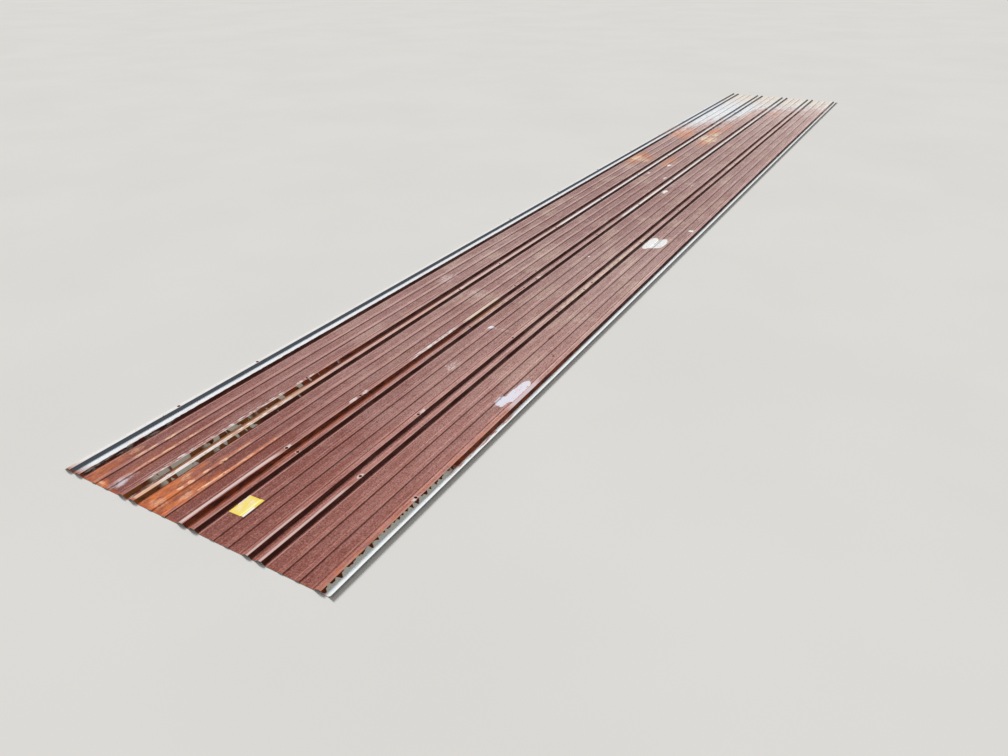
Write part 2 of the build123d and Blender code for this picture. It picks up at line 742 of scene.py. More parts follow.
@dataclass
class Effects:
    """Shader groups that several finishes share, each built once."""

    made: dict[str, NodeTree] = field(default_factory=dict)

    def start(self, name: str, inputs: dict[str, object], output: str) -> tuple[NodeBench, Node, Node]:
        """Open a new group, with a vector called Place among its inputs.

        Args:
            name: The group's name.
            inputs: Each input's default, a number or a vector, by the input's name.
            output: The name of its one output.

        Returns:
            A bench on the group, its input node and its output node.
        """
        tree = bpy.data.node_groups.new(name, "ShaderNodeTree")
        tree.interface.new_socket(name="Place", in_out="INPUT", socket_type="NodeSocketVector")
        for label, value in inputs.items():
            kind = "NodeSocketVector" if isinstance(value, tuple) else "NodeSocketFloat"
            tree.interface.new_socket(name=label, in_out="INPUT", socket_type=kind).default_value = value
        tree.interface.new_socket(name=output, in_out="OUTPUT", socket_type="NodeSocketFloat")
        self.made[name] = tree
        bench = NodeBench(tree)
        return bench, bench.add("NodeGroupInput"), bench.add("NodeGroupOutput")

    def drawn_noise(self) -> NodeTree:
        """Noise drawn out along an axis: Size gives a blotch's width, length and height."""
        if "drawn_noise" not in self.made:
            sizes = {"Size": (0.01, 0.01, 0.01), "Detail": 3.0}
            bench, given, out = self.start("drawn_noise", sizes, "Value")
            place, size, detail = list(given.outputs)[:3]
            scaled = bench.add("ShaderNodeVectorMath", place, size, operation="DIVIDE").outputs[0]
            drawn = bench.fill(bench.add("ShaderNodeTexNoise"), {
                "Vector": scaled, "Scale": 1.0, "Detail": detail, "Roughness": 0.6,
            })
            bench.feed(out.inputs[0], drawn.outputs[0])
        return self.made["drawn_noise"]

    def patch(self) -> NodeTree:
        """Mask of one oval patch, whose edge is soft and follows a noise."""
        if "patch" not in self.made:
            bench, given, out = self.start("patch", {
                "Centre": (0.0, 0.0, 0.0), "Reach": (50.0, 50.0, 1.0),
                "Softness": 0.3, "Raggedness": 0.3, "Noise": 0.5,
            }, "Mask")
            place, centre, reach, softness, raggedness, uneven = list(given.outputs)[:6]
            away = bench.add("ShaderNodeVectorMath", place, centre, operation="SUBTRACT").outputs[0]
            share = bench.add("ShaderNodeVectorMath", away, reach, operation="DIVIDE").outputs[0]
            distance = bench.add("ShaderNodeVectorMath", share, operation="LENGTH").outputs["Value"]
            shift = bench.times(bench.math("SUBTRACT", uneven, 0.5), raggedness, 4.0)
            ragged = bench.math("ADD", distance, shift)
            inner = bench.math("SUBTRACT", 1.0, softness)
            bench.feed(out.inputs[0], bench.span(ragged, inner, 1, 1, 0))
        return self.made["patch"]


@dataclass(frozen=True)
class Lie:
    """Where a point of the sheet lies, as sockets: the place in metres, all else in millimetres."""

    bench: NodeBench
    section: Section
    place: NodeSocket
    flat: NodeSocket
    along: NodeSocket
    step: NodeSocket
    pair: NodeSocket
    across: NodeSocket

    @classmethod
    def read(cls, bench: NodeBench, section: Section) -> "Lie":
        """Work the sockets out from Object coordinates and the sheet's own attribute.

        Args:
            bench: The material's bench.
            section: The sheet's section.

        Returns:
            The sockets, with step counted from the left foot of the pair of ribs beside the point,
            and across from the left end of the first pan.
        """
        y, z = list(bench.add("ShaderNodeSeparateXYZ", bench.place()).outputs)[1:]
        level = bench.add("ShaderNodeAttribute", attribute_name="across").outputs["Fac"]
        along = bench.times(bench.math("SUBTRACT", y, section.near_end), MM)
        from_edge = bench.times(bench.math("SUBTRACT", level, section.left_edge), MM)
        counted = bench.math("MAXIMUM", from_edge, 0.0)
        pitch = MM * section.pitch
        across = bench.math("SUBTRACT", from_edge, MM * section.pair)
        return cls(
            bench, section,
            place=bench.join(level, y, z),
            flat=bench.join(across, along, 0.0),
            along=along,
            step=bench.math("MODULO", counted, pitch),
            pair=bench.math("FLOOR", bench.math("DIVIDE", counted, pitch), 0.0),
            across=across,
        )

    def strip(self, low: float, high: float, soft: float = 1.5, shift: object = 0.0) -> NodeSocket:
        """Mask of a strip along the sheet, in millimetres from the pair's left foot."""
        return self.bench.band(self.bench.math("ADD", self.step, shift), low, high, soft)

    def zone(self, *zones: Zone) -> NodeSocket:
        """Mask of these zones of every pair of ribs."""
        return self.bench.most(*(self.strip(*self.section.zone(zone)) for zone in zones))

    def stretch(self, low: float, high: float, soft: float = 60.0) -> NodeSocket:
        """Mask of a stretch of the length."""
        return self.bench.band(self.along, low, high, soft)

    def at(self, pair: int) -> NodeSocket:
        """Mask of one pair of ribs and the pan to its right."""
        return self.bench.band(self.pair, pair - 0.5, pair + 0.5, 0.2)


@dataclass(frozen=True)
class Spot:
    """One oval patch, in millimetres from the first pan's left end and from the near end."""

    across: float
    along: float
    half_width: float
    half_length: float
    strength: float = 1.0
    softness: float = 0.6
    raggedness: float = 0.5


@dataclass(frozen=True)
class Wear:
    """A stretch of one zone of one pair of ribs whose colour differs, in millimetres from the near end.

    Its part is the share of the zone's width that it covers, from the left.
    """

    pair: int
    zone: Zone
    start: float
    end: float
    tone: Tone
    strength: float = 0.8
    patchiness: float = 0.5
    part: tuple[float, float] = (0.0, 1.0)


@dataclass
class Layers:
    """A finish in the making: what lies uppermost so far, as colour and roughness."""

    bench: NodeBench
    colour: object
    roughness: object

    def cover(self, colour: object, *masks: object, roughness: object = None) -> None:
        """Lay another finish over part of the surface.

        Args:
            colour: Its colour, as a Tone or a socket.
            masks: Where it lies, 0 to 1, as masks and numbers that are multiplied.
            roughness: Its roughness, or None to keep what is under it.
        """
        mask = self.bench.times(*masks)
        self.colour = self.bench.mix(mask, self.colour, colour)
        if roughness is not None:
            self.roughness = self.bench.blend(mask, self.roughness, roughness)


@dataclass
class Brush:
    """What a finish is painted with: the place of each point, shared effects, layers, and the pale colour of
    wear and painted highlights.
    """

    bench: NodeBench
    lie: Lie
    effects: Effects
    layers: Layers
    ragged: NodeSocket
    wear_and_highlight: NodeSocket

    def noise(self, width: float, length: float, detail: float = 3.0) -> NodeSocket:
        """Noise whose blotches have this width and length, in millimetres."""
        return self.bench.group(self.effects.drawn_noise(), Place=self.lie.place, Detail=detail,
                                Size=(width / MM, length / MM, width / MM))

    def flecks(self, size: tuple[float, ...], low: float, high: float, *ends: float) -> NodeSocket:
        """Mask from the noise of this width, length and detail, smoothly from low to high."""
        return self.bench.span(self.noise(*size), low, high, *ends)

    def sway(self, reach: float, *size: float) -> NodeSocket:
        """Shift that goes up and down by the noise of this width, length and detail."""
        return self.bench.times(self.bench.math("SUBTRACT", self.noise(*size), 0.5), reach)

    def spots(self, listed: tuple[Spot, ...]) -> NodeSocket:
        """Join patches into one mask.

        Args:
            listed: The patches.

        Returns:
            The mask.
        """
        joined = 0.0
        for spot in listed:
            mask = self.bench.group(self.effects.patch(), Place=self.lie.flat, Noise=self.ragged,
                                    Centre=(spot.across, spot.along, 0.0),
                                    Reach=(spot.half_width, spot.half_length, 1.0),
                                    Softness=spot.softness, Raggedness=spot.raggedness)
            joined = self.bench.most(joined, self.bench.times(mask, spot.strength))
        return joined


@dataclass(frozen=True)
class WeatheredCoat:
    """Finish of the sheet's upper side: a faded red-brown coat, rust, bare zinc and white smears."""

    section: Section
    effects: Effects
    roughness: float = 0.72
    specular: float = 0.05
    grain_depth: float = 0.0004
    grain_strength: float = 0.6

    rust_spots: tuple[Spot, ...] = (
        Spot(20, 20, 46, 220, 0.5, 0.9, 0.3), Spot(76, 0, 44, 34, 1.0, 0.7, 0.4),
        Spot(100, 120, 40, 260, 0.2, 0.9, 0.3), Spot(258, 60, 34, 240, 0.9, 0.9, 0.3),
        Spot(297, 50, 34, 220, 0.85, 0.9, 0.3), Spot(336, 70, 30, 220, 0.85, 0.9, 0.3),
        Spot(349, 290, 11, 220, 0.75, 0.8, 0.3), Spot(290, 260, 16, 200, 0.35, 0.9, 0.3),
        Spot(285, 4, 66, 34, 0.8, 0.7, 0.4), Spot(40, 5330, 80, 270, 1.0, 0.5, 0.4),
        Spot(115, 5260, 60, 240, 0.9, 0.6, 0.4), Spot(280, 5450, 66, 190, 0.95, 0.6, 0.5),
        Spot(330, 5100, 80, 260, 0.8, 0.7, 0.5), Spot(330, 5640, 60, 260, 0.6, 0.8, 0.6),
        Spot(360, 6300, 40, 260, 0.5, 0.9, 0.6), Spot(50, 4330, 70, 230, 1.0, 0.7, 0.5),
        Spot(120, 4330, 50, 160, 0.6, 0.8, 0.5), Spot(280, 4330, 60, 240, 0.7, 0.9, 0.4),
        Spot(540, 6420, 90, 240, 0.5, 0.9, 0.6),
    )
    amber_spots: tuple[Spot, ...] = (
        Spot(53, 205, 6, 26, 1.0, 0.5), Spot(52, 160, 8, 30, 0.7),
        Spot(55, 262, 6, 26, 1.0, 0.5), Spot(54, 350, 4, 90, 0.6),
        Spot(106, 150, 6, 60, 0.75), Spot(106, 215, 6, 40, 0.9),
        Spot(107, 300, 5, 50, 0.8), Spot(108, 420, 4, 80, 0.5),
        Spot(292, 107, 8, 14, 0.9, 0.5), Spot(294, 142, 8, 16, 1.0, 0.5),
        Spot(294, 198, 8, 20, 1.0, 0.5), Spot(296, 258, 8, 20, 1.0, 0.5),
        Spot(296, 340, 4, 60, 0.6), Spot(343, 150, 7, 44, 1.0),
        Spot(346, 215, 6, 50, 0.9), Spot(347, 300, 6, 60, 0.8),
        Spot(349, 400, 4, 70, 0.5), Spot(262, 150, 12, 30, 0.5),
        Spot(22, 170, 12, 30, 0.35), Spot(70, 6, 18, 16, 0.8),
        Spot(290, 30, 30, 30, 0.4), Spot(330, 90, 14, 40, 0.5),
        Spot(46, 4320, 50, 90, 0.8), Spot(120, 4290, 40, 60, 0.5),
        Spot(275, 5190, 60, 150, 1.0, 0.8, 0.7), Spot(345, 5130, 60, 150, 1.0, 0.8, 0.7),
        Spot(320, 5340, 40, 130, 0.9, 0.8, 0.7), Spot(345, 6250, 40, 260, 0.5),
    )
    pale_spots: tuple[Spot, ...] = (
        Spot(124, 1190, 26, 260, 0.2, raggedness=0.7), Spot(96, 1770, 44, 60, 0.9, raggedness=0.7),
        Spot(300, 1700, 50, 60, 0.6, raggedness=0.8), Spot(574, 1085, 34, 46, 0.9, raggedness=0.7),
        Spot(592, 1432, 46, 12, 0.6, raggedness=0.8), Spot(496, 3780, 20, 90, 1.0, raggedness=0.7),
        Spot(604, 3840, 16, 40, 0.9, raggedness=0.7), Spot(760, 4560, 50, 20, 0.6, raggedness=0.8),
        Spot(322, 4240, 26, 50, 1.0, raggedness=0.6), Spot(120, 5740, 50, 110, 0.7, raggedness=0.6),
    )
    smears: tuple[Spot, ...] = (
        Spot(118, 42, 20, 52, 0.6, 0.9, 0.6), Spot(870, 1075, 21, 62, 1.0, 0.16, 0.12),
        Spot(868, 1020, 24, 62, 1.0, 0.16, 0.14), Spot(856, 965, 22, 44, 1.0, 0.3, 0.4),
        Spot(750, 2650, 24, 70, 1.0, 0.15, 0.14), Spot(752, 2710, 25, 62, 1.0, 0.15, 0.12),
        Spot(800, 2700, 25, 84, 1.0, 0.15, 0.12), Spot(776, 2640, 28, 36, 1.0, 0.3, 0.3),
        Spot(880, 2965, 24, 20, 1.0, 0.4, 0.3), Spot(534, 1428, 14, 17, 1.0, 0.4, 0.3),
        Spot(552, 2350, 6, 10, 0.9, 0.4, 0.2), Spot(504, 3610, 17, 44, 1.0, 0.4, 0.6),
        Spot(316, 4235, 14, 34, 1.0, 0.4, 0.5), Spot(400, 3910, 12, 34, 0.8, 0.4, 0.5),
        Spot(262, 3977, 10, 24, 0.8, 0.4, 0.4),
    )
    specks: tuple[Spot, ...] = (
        Spot(44.5, 1827, 5, 7, 1.0, 0.3, 0.1), Spot(860, 1337, 5, 7, 1.0, 0.3, 0.1),
        Spot(885, 1701, 4, 5, 0.8, 0.3, 0.1), Spot(656, 1236, 5, 7, 1.0, 0.3, 0.1),
        Spot(783, 1470, 5, 36, 0.7, 0.6, 0.5), Spot(36, 2560, 4, 14, 0.7, 0.5, 0.4),
    )
    torn_crests: tuple[tuple[int, float, float], ...] = (
        (2, 0.776, 24), (2, 0.714, 20), (4, 0.772, 18), (4, 0.716, 24), (6, 0.776, 16),
        (5, 1.985, 20), (7, 1.955, 26), (3, 1.700, 14), (8, 0.390, 12), (7, 0.398, 16), (4, 0.404, 13),
    )
    wear: tuple[Wear, ...] = (
        Wear(0, Zone.SECOND_FALL, -50, 330, Tone.PALE_ZINC_AND_LIGHT, 0.45, 0.82),
        Wear(1, Zone.FIRST_CREST, 80, 640, Tone.WHITE, 0.75, 0.82),
        Wear(1, Zone.FIRST_FALL, -50, 640, Tone.OCHRE, 0.75, 0.7),
        Wear(1, Zone.FIRST_FALL, 600, 1100, Tone.RUST, 0.6, 0.75),
        Wear(1, Zone.SECOND_FALL, -50, 460, Tone.OCHRE, 0.7, 0.6),
        Wear(1, Zone.VALLEY, -50, 520, Tone.PALE_ZINC_AND_LIGHT, 0.6, 0.85),
        Wear(1, Zone.VALLEY, 150, 700, Tone.OCHRE, 0.85, 0.5),
        Wear(1, Zone.VALLEY, 500, 700, Tone.SAND, 0.5, 0.6),
        Wear(1, Zone.VALLEY, 730, 1750, Tone.DARK_RUST, 0.8, 0.4),
        Wear(1, Zone.SECOND_RISE, -50, 700, Tone.OCHRE, 0.7, 0.5),
        Wear(1, Zone.SECOND_RISE, 700, 1750, Tone.RUST, 0.55, 0.72),
        Wear(1, Zone.SECOND_CREST, -50, 800, Tone.SAND, 0.9, 0.45),
        Wear(1, Zone.SECOND_CREST, 700, 1750, Tone.PALE_PINK, 0.6, 0.6),
        Wear(1, Zone.SECOND_CREST, -50, 110, Tone.AMBER, 0.5, 0.6),
        Wear(1, Zone.SECOND_CREST, 94, 330, Tone.WHITE, 0.75, 0.6),
        Wear(1, Zone.SECOND_CREST, 330, 620, Tone.WHITE, 0.8, 0.8),
        Wear(1, Zone.SECOND_CREST, 700, 1500, Tone.BRIGHT_RUST, 0.4, 0.85),
        Wear(1, Zone.SECOND_CREST, 1650, 3000, Tone.PALE_PINK, 0.85, 0.4),
        Wear(1, Zone.SECOND_CREST, 2700, 7400, Tone.WHITE, 0.85, 0.35),
        Wear(2, Zone.FIRST_CREST, -50, 360, Tone.PALE_MAUVE, 0.9, 0.3, (0.0, 0.7)),
        Wear(2, Zone.FIRST_CREST, 1050, 1340, Tone.WHITE, 0.8, 0.75),
        Wear(2, Zone.FIRST_CREST, 1420, 1680, Tone.CREAM, 0.85, 0.6),
        Wear(2, Zone.FIRST_FALL, -50, 1350, Tone.RUST, 0.4, 0.75),
        Wear(2, Zone.VALLEY, -50, 1350, Tone.DARK_RUST, 0.75, 0.5),
        Wear(2, Zone.VALLEY, -50, 1050, Tone.RUST, 0.5, 0.78),
        Wear(2, Zone.VALLEY, 1420, 1680, Tone.OCHRE, 0.8, 0.6),
        Wear(2, Zone.SECOND_RISE, -50, 1350, Tone.RUST, 0.55, 0.7),
        Wear(2, Zone.SECOND_CREST, 1420, 1700, Tone.CREAM, 0.5, 0.8),
        Wear(2, Zone.SECOND_CREST, 3240, 3720, Tone.AMBER, 0.75, 0.5),
        Wear(2, Zone.SECOND_CREST, 3000, 7400, Tone.WHITE, 0.8, 0.45),
        Wear(3, Zone.FIRST_CREST, -50, 200, Tone.PALE_MAUVE, 0.7, 0.4, (0.4, 0.9)),
        Wear(3, Zone.SECOND_CREST, -50, 330, Tone.PALE_MAUVE, 0.7, 0.4, (0.35, 0.9)),
        Wear(3, Zone.SECOND_CREST, 1700, 2700, Tone.CREAM, 0.65, 0.7),
        Wear(3, Zone.VALLEY, 1750, 2500, Tone.TAN, 0.5, 0.7),
        Wear(3, Zone.SECOND_CREST, 4300, 7400, Tone.PALE_PINK, 0.7, 0.5),
        Wear(4, Zone.FIRST_CREST, -50, 950, Tone.BRIGHT_RUST, 0.35, 0.8),
        Wear(4, Zone.FIRST_CREST, 930, 1130, Tone.LILAC, 0.55, 0.4),
        Wear(4, Zone.FIRST_FALL, -50, 560, Tone.PALE_ZINC_AND_LIGHT, 0.85, 0.3),
        Wear(4, Zone.FIRST_FALL, 560, 1450, Tone.RUST, 0.6, 0.75),
    )
    # Painted patches of light on pair 1's right-facing slopes: pair, zone, start and end along, and how much
    # rarer each is.
    scalloped: tuple[tuple[int, Zone, float, float, float], ...] = (
        (1, Zone.FIRST_FALL, 90, 230, -0.08),
        (1, Zone.FIRST_FALL, 280, 470, 0.0),
        (1, Zone.FIRST_FALL, 500, 900, 0.07),
        (1, Zone.SECOND_FALL, 90, 230, -0.05),
        (1, Zone.SECOND_FALL, 280, 650, 0.06),
    )
    bleach_line: tuple[tuple[float, float], ...] = (
        (-90, 5480), (0, 5540), (70, 5620), (110, 5860), (160, 5900), (242, 6000), (310, 6100), (335, 6560),
        (400, 6700), (470, 6720), (500, 6760), (640, 6800), (730, 6860), (830, 6940), (940, 6940),
    )

    def build_pans(self) -> Material:
        """Make the material of the pans and their beads."""
        return self.build("coated_pans", (self.beads, self.rust, self.brim, self.far_end, self.marks))

    def build_ribs(self) -> Material:
        """Make the material of the ribs, their valleys and the lap edge."""
        return self.build("coated_ribs", (self.ribs, self.bare_zinc, self.brim, self.far_end, self.nails))

    def build(self, name: str, steps: tuple[Callable[[Brush], None], ...]) -> Material:
        """Make a material of the coat with other layers over it.

        Args:
            name: The material's name.
            steps: What lays each of the other layers, the lowest first.

        Returns:
            The material.
        """
        material, bench = start_material(name)
        lie = Lie.read(bench, self.section)
        ragged = bench.group(self.effects.drawn_noise(), Place=lie.place, Detail=5, Size=(0.02, 0.035, 0.02))
        # pale colour for wear and for painted highlights, paler with distance like the coat
        wear_and_highlight = bench.mix(bench.span(lie.along, 0, 2400), Tone.PALE_ROSE, Tone.PALE_PINK)
        layers = Layers(bench, Tone.BROWN, self.roughness)
        brush = Brush(bench, lie, self.effects, layers, ragged, wear_and_highlight)
        grain = self.coat(brush)
        for step in steps:
            step(brush)
        bump = bench.fill(bench.add("ShaderNodeBump"), {
            "Height": grain, "Distance": self.grain_depth, "Strength": self.grain_strength,
        })
        bench.shade({
            "Base Color": layers.colour, "Roughness": layers.roughness,
            "Normal": bump.outputs[0], "Specular IOR Level": self.specular,
        })
        return material

    def coat(self, brush: Brush) -> NodeSocket:
        """Lay the coat, paler with distance from partly real fade and partly painted sheen, with its grain
        and its streaks along the ribs.

        Args:
            brush: What it is painted with.

        Returns:
            The grain, for the bump.
        """
        bench, lie, cover = brush.bench, brush.lie, brush.layers.cover
        along = lie.along
        long_drift = bench.times(brush.noise(9, 600), 0.6)
        drift = bench.math("ADD", long_drift, bench.times(brush.noise(120, 170), 0.4))
        # paler and pinker with distance, here and in the mauve covers below: partly real fade, partly painted
        # sheen
        fade_and_sheen = bench.math("ADD", bench.span(drift, 0.38, 0.62, -0.28, 0.28), bench.span(along, -200, 1500))
        brush.layers.colour = bench.mix(bench.span(fade_and_sheen, 0, 1), Tone.BROWN, Tone.PINK)
        uneven = brush.flecks((16, 420), 0.36, 0.62, 0.45)
        cover(Tone.MAUVE, bench.span(along, 1300, 3000), uneven)
        cover(Tone.DUSK, lie.stretch(2500, 3800, 450), 0.4)
        cover(Tone.PALE_MAUVE, bench.span(along, 4300, 6700), uneven, 0.8)
        cover(brush.wear_and_highlight, lie.stretch(0, 4800, 1200), bench.span(lie.across, 400, 800, 0, 0.26),
              bench.span(along, 2600, 3100, 1, 0.4))
        cover(Tone.TAN, brush.flecks((150, 240, 4), 0.48, 0.66), bench.span(along, 500, 1800), 0.44)
        grain = brush.noise(3.6, 5.5, 2)
        farther = (bench.span(along, 300, 1600, 0.35),)
        for flecks, masks, light, dark in (
            (brush.noise(5, 300, 4), farther, (0.52, 0.66, 0.42), (0.34, 0.48, 0.5)),
            (brush.noise(2.4, 22), (), (0.52, 0.72, 0.22), (0.28, 0.46, 0.45)),
            (grain, (), (0.54, 0.68, 0.32), (0.34, 0.49, 0.74)),
            (brush.noise(14, 34, 4), (), (0.56, 0.70, 0.24), (0.30, 0.44, 0.38)),
        ):
            cover(brush.wear_and_highlight, bench.span(flecks, *light[:2]), *masks, light[2])
            cover(Tone.DEEP, bench.span(flecks, *dark[:2], 1, 0), *masks, dark[2])
        return grain

    def beads(self, brush: Brush) -> None:
        """Wear the beads' tops, paint shade on their right-facing slopes and in the creases at the rises'
        feet, and paint a highlight along each pan's left end and a pale line near its right end.

        Args:
            brush: What it is painted with.
        """
        bench, lie, cover, section = brush.bench, brush.lie, brush.layers.cover, self.section
        wear_and_highlight = brush.flecks((5, 120), 0.40, 0.60)
        shade_flecks = brush.flecks((5, 90), 0.30, 0.55, 0.45)
        faint = bench.span(lie.along, 600, 1200, 0.25, 0.5)
        fainter = bench.blend(bench.span(lie.across, 380, 480), 1, faint)
        shade_fading_far = bench.span(lie.along, 2500, 6000, 0.55, 0.25)
        for bead in range(1, section.beads + 1):
            middle = MM * (section.pair + section.bead_middle(bead))
            top_end = middle + MM * section.bead_top / 2
            foot = top_end + MM * section.bead_slope
            cover(brush.wear_and_highlight, lie.strip(middle - 6, top_end, 4), bench.blend(wear_and_highlight, 0.22, 0.55), fainter)
            cover(brush.wear_and_highlight, lie.strip(top_end - 2.5, top_end), wear_and_highlight, 0.4)
            # painted shade on each bead's right-facing slope, fainter far away
            cover(Tone.DEEP, lie.strip(top_end + 0.5, foot, 2), shade_flecks, shade_fading_far)
        foot, edge = MM * section.pair, MM * section.pitch
        # painted highlight along each pan's left end, just past the rib's shadow
        cover(brush.wear_and_highlight, lie.strip(foot + 4, foot + 8), bench.blend(wear_and_highlight, 0.5, 0.9))
        cover(brush.wear_and_highlight, lie.strip(edge - 10, edge - 5.5, 3), wear_and_highlight, 0.55)
        # painted shade in the crease at the foot of each rise
        for low, high in ((edge - 4, edge + 2), (-2, 2)):
            cover(Tone.DEEP, lie.strip(low, high, 2), shade_flecks, 0.7)

    def rust(self, brush: Brush) -> None:
        """Lay the rust of both ends, its orange streaks and the amber spots on the beads.

        Args:
            brush: What it is painted with.
        """
        bench, cover = brush.bench, brush.layers.cover
        where = brush.spots(self.rust_spots)
        far = bench.span(brush.lie.along, 3000, 4000)
        mixed = bench.mix(brush.flecks((10, 40, 4), 0.32, 0.54), Tone.RUST, Tone.BRIGHT_RUST)
        uneven = brush.flecks((7, 30, 4), 0.32, 0.56, 0.35)
        cover(bench.mix(far, mixed, Tone.SALMON), where, uneven, roughness=0.75)
        pale = bench.mix(far, Tone.AMBER, Tone.CREAM)
        cover(pale, brush.spots(self.amber_spots), brush.flecks((6, 12), 0.34, 0.52), roughness=0.8)

    def brim(self, brush: Brush) -> None:
        """Lay the thin line of rust along the near end, fainter on the right.

        Args:
            brush: What it is painted with.
        """
        fainter = brush.bench.span(brush.lie.across, 330, 420, 0.8, 0.2)
        broken = brush.flecks((14, 12), 0.35, 0.55)
        brush.layers.cover(Tone.RUST, brush.lie.stretch(-60, 8, 8), broken, fainter, roughness=0.8)

    def ribs(self, brush: Brush) -> None:
        """Fade the crests, paint shade on the right-facing slopes, colour the stretches that differ and paint
        patches of light on pair 1's right-facing slopes.

        Args:
            brush: What it is painted with.
        """
        bench, lie, cover, section = brush.bench, brush.lie, brush.layers.cover, self.section
        rubbed = brush.flecks((4, 130), 0.34, 0.60)
        shade = brush.flecks((9, 70, 4), 0.35, 0.65, 0.75)
        for crest, fall in ((Zone.FIRST_CREST, Zone.FIRST_FALL), (Zone.SECOND_CREST, Zone.SECOND_FALL)):
            low, high = section.zone(crest)
            cover(brush.wear_and_highlight, lie.strip(low, high, 2), rubbed, 0.42)
            cover(brush.wear_and_highlight, lie.strip(high - 4, high + 0.5), rubbed, 0.75)
            # painted shade: the right-facing slopes are darkened with the SHADE colour
            cover(Tone.SHADE, lie.zone(fall), shade)
        broken = brush.noise(8, 34, 4)
        for wear in self.wear:
            limit = 0.62 * wear.patchiness
            kept = bench.span(broken, limit - 0.06, limit + 0.12)
            low, high = section.zone(wear.zone)
            strip = lie.strip(*(low + share * (high - low) for share in wear.part))
            cover(wear.tone, lie.at(wear.pair), strip, lie.stretch(wear.start, wear.end), kept, wear.strength)
        # painted patches of light on pair 1's right-facing slopes, in the pale zinc colour
        blocks = brush.noise(80, 42, 2)
        for pair, zone, start, end, rarer in self.scalloped:
            kept = bench.span(blocks, 0.49 + rarer, 0.53 + rarer)
            cover(Tone.PALE_ZINC_AND_LIGHT, lie.at(pair), lie.zone(zone), lie.stretch(start, end, 30), kept, 0.92)

    def bare_zinc(self, brush: Brush) -> None:
        """Bare the zinc of the left pair and of the lap edge, with the coat scalloped beside it, a lit copy
        of the zinc on the rises and painted shade on the left pair's right-facing slope.

        Args:
            brush: What it is painted with.
        """
        bench, lie, cover, section = brush.bench, brush.lie, brush.layers.cover, self.section
        spangle = bench.mix(brush.flecks((7, 30), 0.35, 0.65), Tone.WHITE, Tone.COOL_WHITE)
        cloud = brush.flecks((9, 110, 4), 0.30, 0.50, 0.72)
        left = lie.at(0)
        bared = lie.strip(-5, section.zone(Zone.SECOND_CREST)[1] - 1, 1.2, brush.sway(10, 40, 22, 2))
        cover(spangle, left, bared, cloud, bench.span(lie.along, 0, 60, 0.25))
        cover(Tone.CREAM, left, lie.zone(Zone.FIRST_CREST), 0.3)
        # lit copy of the zinc on the rises and painted blue-grey shade on the right-facing slope
        cover(Tone.LIT_ZINC, left, lie.zone(Zone.FIRST_RISE, Zone.SECOND_RISE))
        cover(Tone.BLUE_GREY_SHADE_AND_STREAK, left, lie.zone(Zone.FIRST_FALL))
        lap = lie.at(section.bays)
        foot = MM * section.rib
        lip = foot + MM * section.lap_valley
        end = MM * section.pitch
        cover(spangle, lap, lie.strip(foot - 0.5, end, 1.2), cloud)
        # lit copy of the zinc on the lip's left-facing slope
        cover(Tone.LIT_ZINC, lap, lie.strip(lip, end, 1.2))
        scallop = bench.math("ADD", lie.step, brush.sway(40, 60, 20, 1))
        bitten = bench.span(scallop, foot - 9, foot - 7, 1, 0)
        cover(Tone.DARK_RUST, lap, lie.zone(Zone.FIRST_FALL), lie.stretch(-50, 620, 80), bitten)
        stained = (lie.strip(foot - 2, lip, 2), lie.stretch(560, 930, 140), brush.flecks((6, 50), 0.44, 0.58))
        cover(Tone.RUST, lap, *stained, 0.8, roughness=0.7)
        dots = brush.flecks((5, 9, 2), 0.27, 0.33, 1, 0)
        cover(Tone.DARK_RUST, bench.most(left, lap), dots, lie.stretch(-50, 3000, 800), 0.7)

    def far_end(self, brush: Brush) -> None:
        """Bare the zinc of the far end, behind a ragged line, with tan and pink left on it, thin blue-grey
        streaks, painted shade on its right-facing slopes and a lit copy of the zinc on its left-facing ones.

        Args:
            brush: What it is painted with.
        """
        bench, lie, cover = brush.bench, brush.lie, brush.layers.cover
        line = bench.curve(lie.across, self.bleach_line)
        past = bench.math("ADD", bench.math("SUBTRACT", lie.along, line), brush.sway(1100, 34, 150, 4))
        cover(Tone.PALE_MAUVE, bench.span(past, -800, 0), brush.flecks((14, 80, 4), 0.36, 0.58), 0.85)
        bare = bench.span(past, -200, 220)
        pale = bench.mix(brush.flecks((30, 300, 4), 0.42, 0.58), Tone.COOL_WHITE, Tone.WHITE)
        ground = bench.mix(bench.span(lie.along, 6500, 7200, 0, 0.55), pale, Tone.CREAM)
        cover(ground, bare, brush.flecks((14, 70, 4), 0.30, 0.46, 0.25))
        tanned = bench.span(lie.across, 40, 300, 0.3, 0.9)
        cover(Tone.TAN, bare, brush.flecks((20, 90, 4), 0.52, 0.64), tanned, 0.6)
        cover(Tone.BLUE_GREY_SHADE_AND_STREAK, bare, brush.flecks((5, 260), 0.30, 0.48, 1, 0), 0.3)
        # painted blue-grey shade on the right-facing slopes, and the lit copy of the zinc on the left-facing
        # ones
        cover(Tone.BLUE_GREY_SHADE_AND_STREAK, bare, lie.zone(Zone.FIRST_FALL, Zone.SECOND_FALL), 0.85)
        cover(Tone.LIT_ZINC, bare, lie.zone(Zone.FIRST_RISE, Zone.SECOND_RISE), 0.9)

